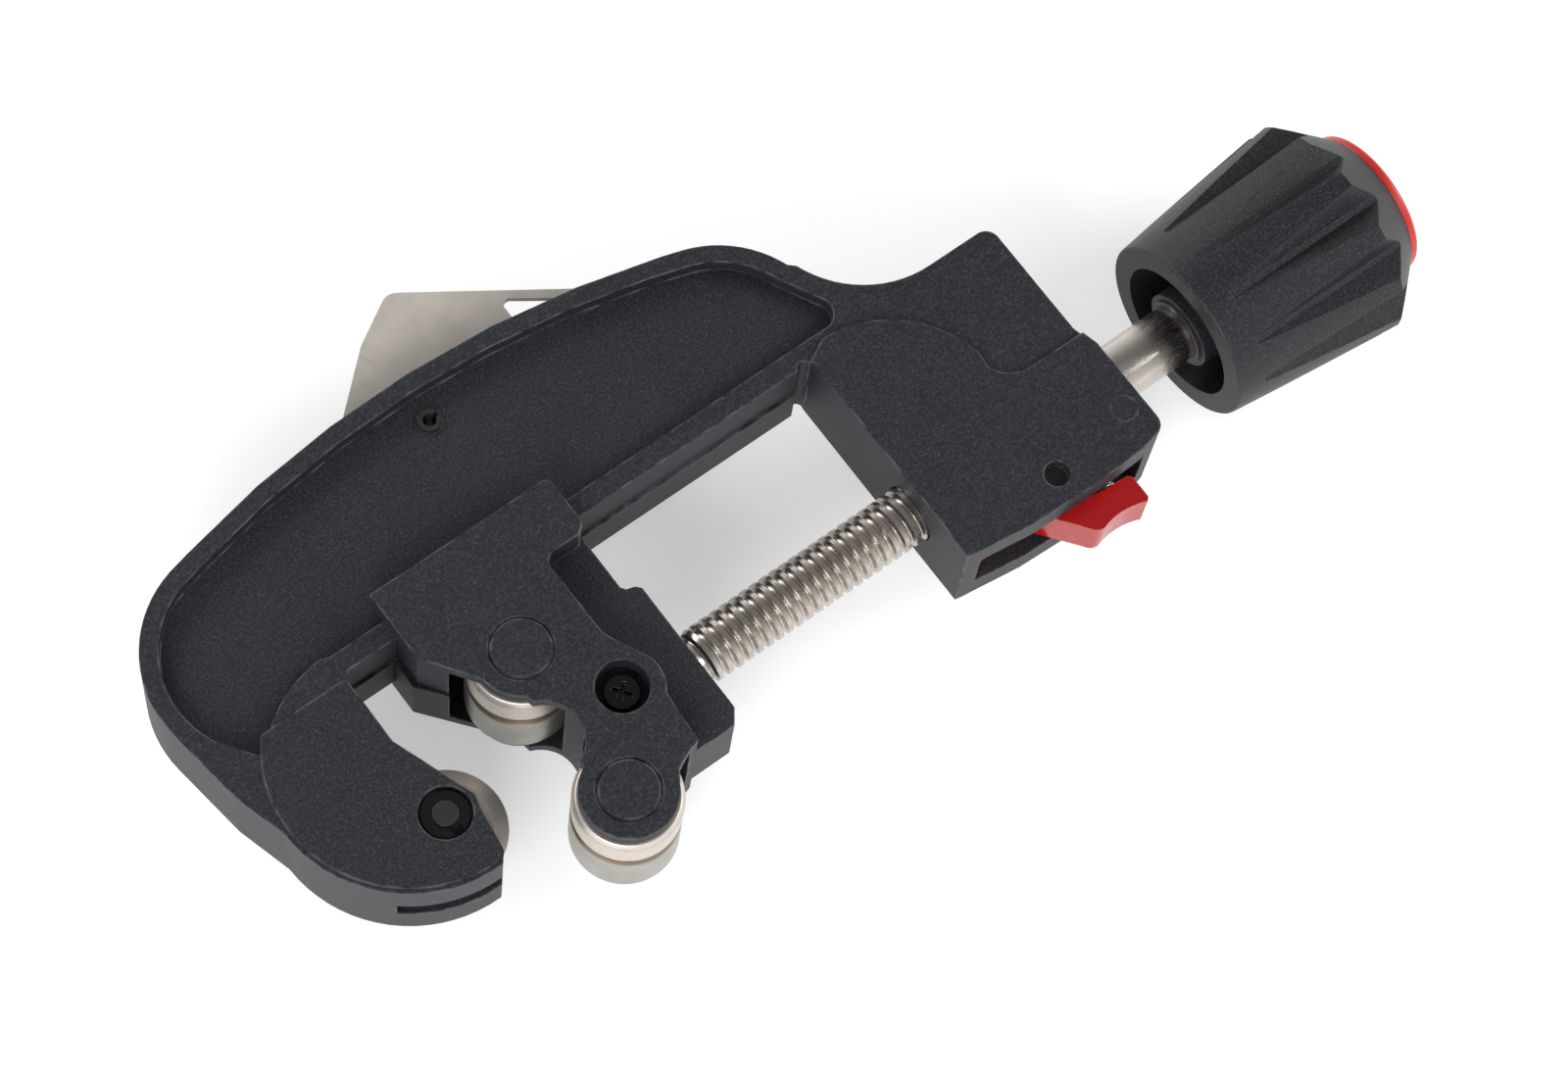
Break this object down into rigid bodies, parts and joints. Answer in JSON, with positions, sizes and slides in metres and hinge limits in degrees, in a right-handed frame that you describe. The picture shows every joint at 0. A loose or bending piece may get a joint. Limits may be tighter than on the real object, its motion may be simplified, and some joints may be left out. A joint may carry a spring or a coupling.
{
  "type": "pipe cutter",
  "caption": "C-frame tube cutter with a cutting wheel in the jaw, a roller carriage on a feed screw, a fluted knob, a quick-release lever and a folding reamer blade.",
  "frame": {"origin": "axis of the tube in the throat, midway through the tool's thickness, with the carriage set for a 14.4 mm tube", "axes": "+X along the feed screw from the cutter wheel to the knob, +Y towards the frame's back, +Z along the tube's axis"},
  "size_m": [0.2178, 0.1034, 0.0406],
  "materials": {
    "frame_paint": "fine textured powder coat",
    "carriage_paint": "fine textured powder coat",
    "wheel_steel": "ground",
    "roller_steel": "turned, satin nickel",
    "screw_steel": "nickel plated",
    "pin_steel": "oiled",
    "black_steel": "black oxide",
    "blade_steel": "stamped stainless",
    "lever_red": "gloss",
    "bronze": "machined",
    "knob_plastic": "spark-eroded texture",
    "cap_red": "satin"
  },
  "bodies": {
    "frame": {"frame": "frame_paint", "wheel_pin": "pin_steel", "wheel_pin_ring": "black_steel", "reamer_pin": "pin_steel", "lever_pin": "pin_steel", "lever_spring": "screw_steel"},
    "wheel": {"cutter_wheel": "wheel_steel"},
    "reamer": {"reamer_blade": "blade_steel"},
    "lever": {"release_lever": "lever_red", "half_nut": "bronze"},
    "carriage": {"carriage_upper": "carriage_paint", "carriage_lower": "carriage_paint", "carriage_screw": "black_steel", "thrust_washer": "bronze", "roller_axle_back": "pin_steel", "roller_axle_front": "pin_steel"},
    "back_roller": {"roller_back": "roller_steel"},
    "front_roller": {"roller_front": "roller_steel"},
    "feed": {"feed_screw": "screw_steel", "knob": "knob_plastic", "knob_bush": "pin_steel", "knob_screw": "pin_steel", "knob_cap": "cap_red"}
  },
  "joints": [
    {"name": "wheel_spin", "type": "hinge", "parent": "frame", "child": "wheel", "pos_m": [-0.0172, 0, 0], "axis": [0, 0, 1], "continuous": true},
    {"name": "reamer_fold", "type": "hinge", "parent": "frame", "child": "reamer", "pos_m": [0.0195, 0.0561, 0], "axis": [0, 0, 1], "range_deg": [0, 70]},
    {"name": "carriage_slide", "type": "slide", "parent": "frame", "child": "carriage", "axis": [1, 0, 0], "range_m": [-0.008, 0.0446]},
    {"name": "back_roller_spin", "type": "hinge", "parent": "carriage", "child": "back_roller", "pos_m": [0.00751, 0.0143, 0], "axis": [0, 0, 1], "continuous": true},
    {"name": "front_roller_spin", "type": "hinge", "parent": "carriage", "child": "front_roller", "pos_m": [0.00751, -0.0143, 0], "axis": [0, 0, 1], "continuous": true},
    {"name": "knob_spin", "type": "hinge", "parent": "carriage", "child": "feed", "pos_m": [0.05, 0, 0], "axis": [1, 0, 0], "range_deg": [-1441, 8029]},
    {"name": "lever_press", "type": "hinge", "parent": "frame", "child": "lever", "pos_m": [0.0957, -0.0109, 0], "axis": [0, 0, 1], "range_deg": [0, 9], "stiffness_Nm_per_rad": 0.5, "springref_deg": -11.46, "deforming": ["lever_spring"]}
  ],
  "couplings": [
    {"joint": "knob_spin", "follows": "carriage_slide", "rad_per_m": 3141.6}
  ]
}
